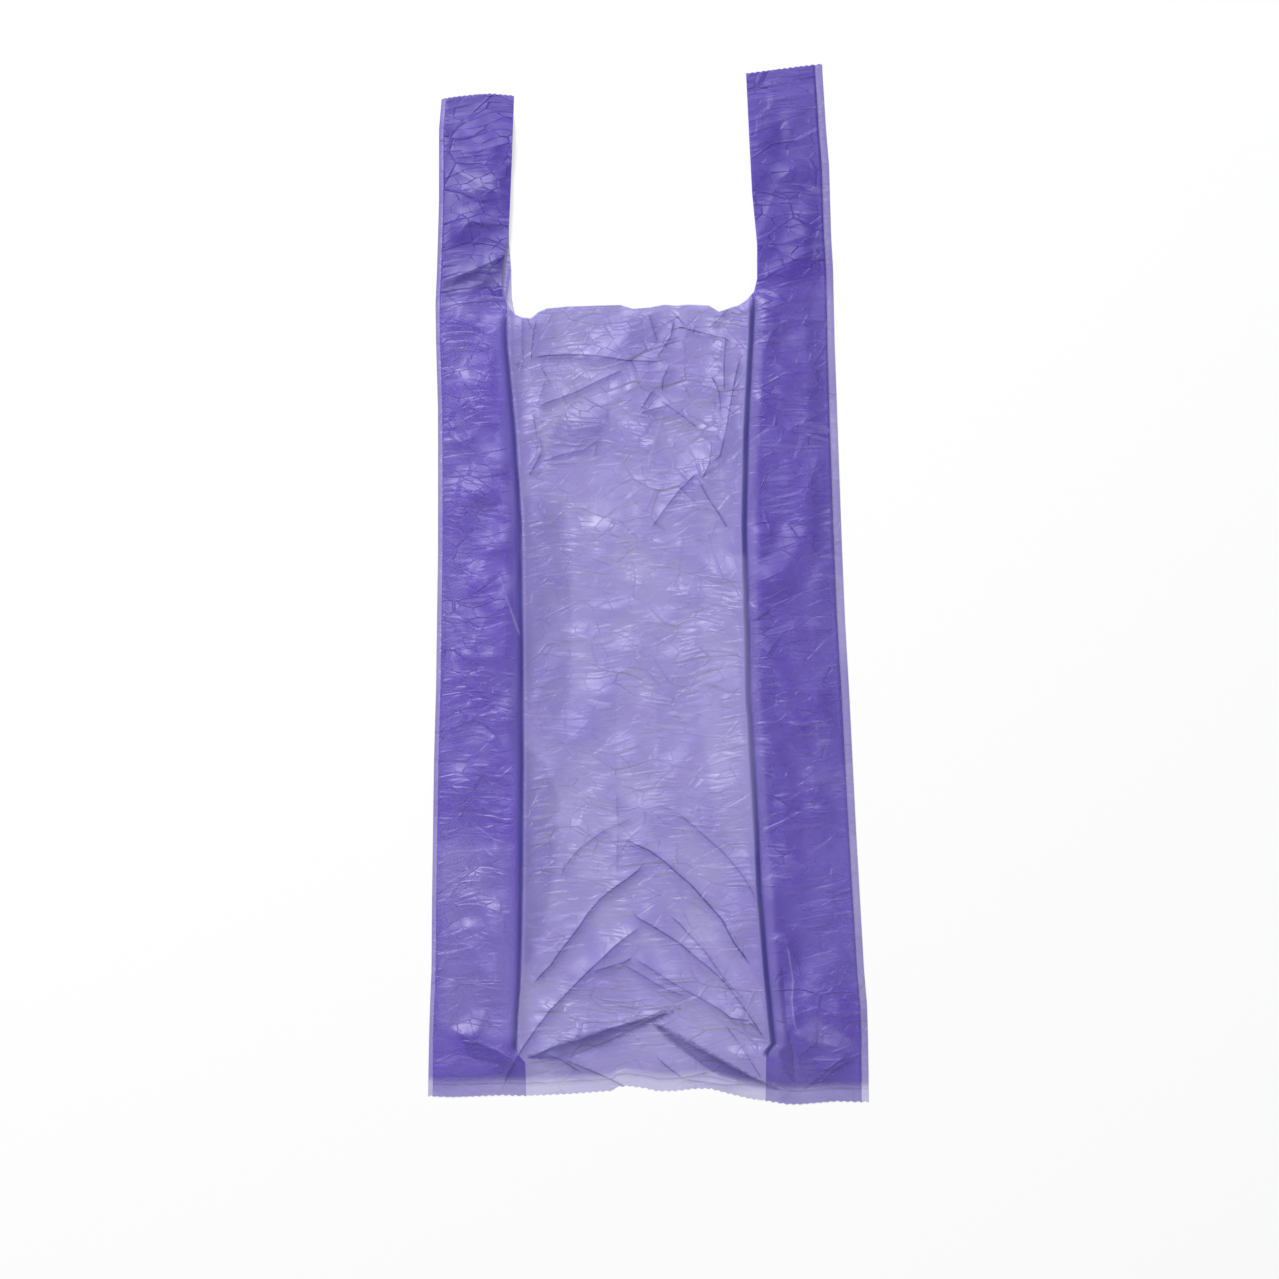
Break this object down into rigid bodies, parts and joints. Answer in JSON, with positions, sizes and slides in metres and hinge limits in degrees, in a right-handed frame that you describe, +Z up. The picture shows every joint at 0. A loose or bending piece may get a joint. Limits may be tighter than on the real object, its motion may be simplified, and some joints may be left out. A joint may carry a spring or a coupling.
{
  "type": "plastic carrier bag",
  "caption": "Thin translucent purple carrier bag with side gussets and vest handles, empty and lying flat on its back, creased from use.",
  "frame": {"origin": "on the ground under the middle of the lying bag's box", "axes": "+Z up from the ground through the front panel, +Y from the bottom weld to the handles, +X to the right of someone looking down at the front panel with the handles away from them"},
  "size_m": [0.2006, 0.4714, 0.0057],
  "materials": {
    "purple_film": "satin translucent film"
  },
  "bodies": {
    "root": {"carrier_bag": "purple_film"}
  },
  "joints": []
}
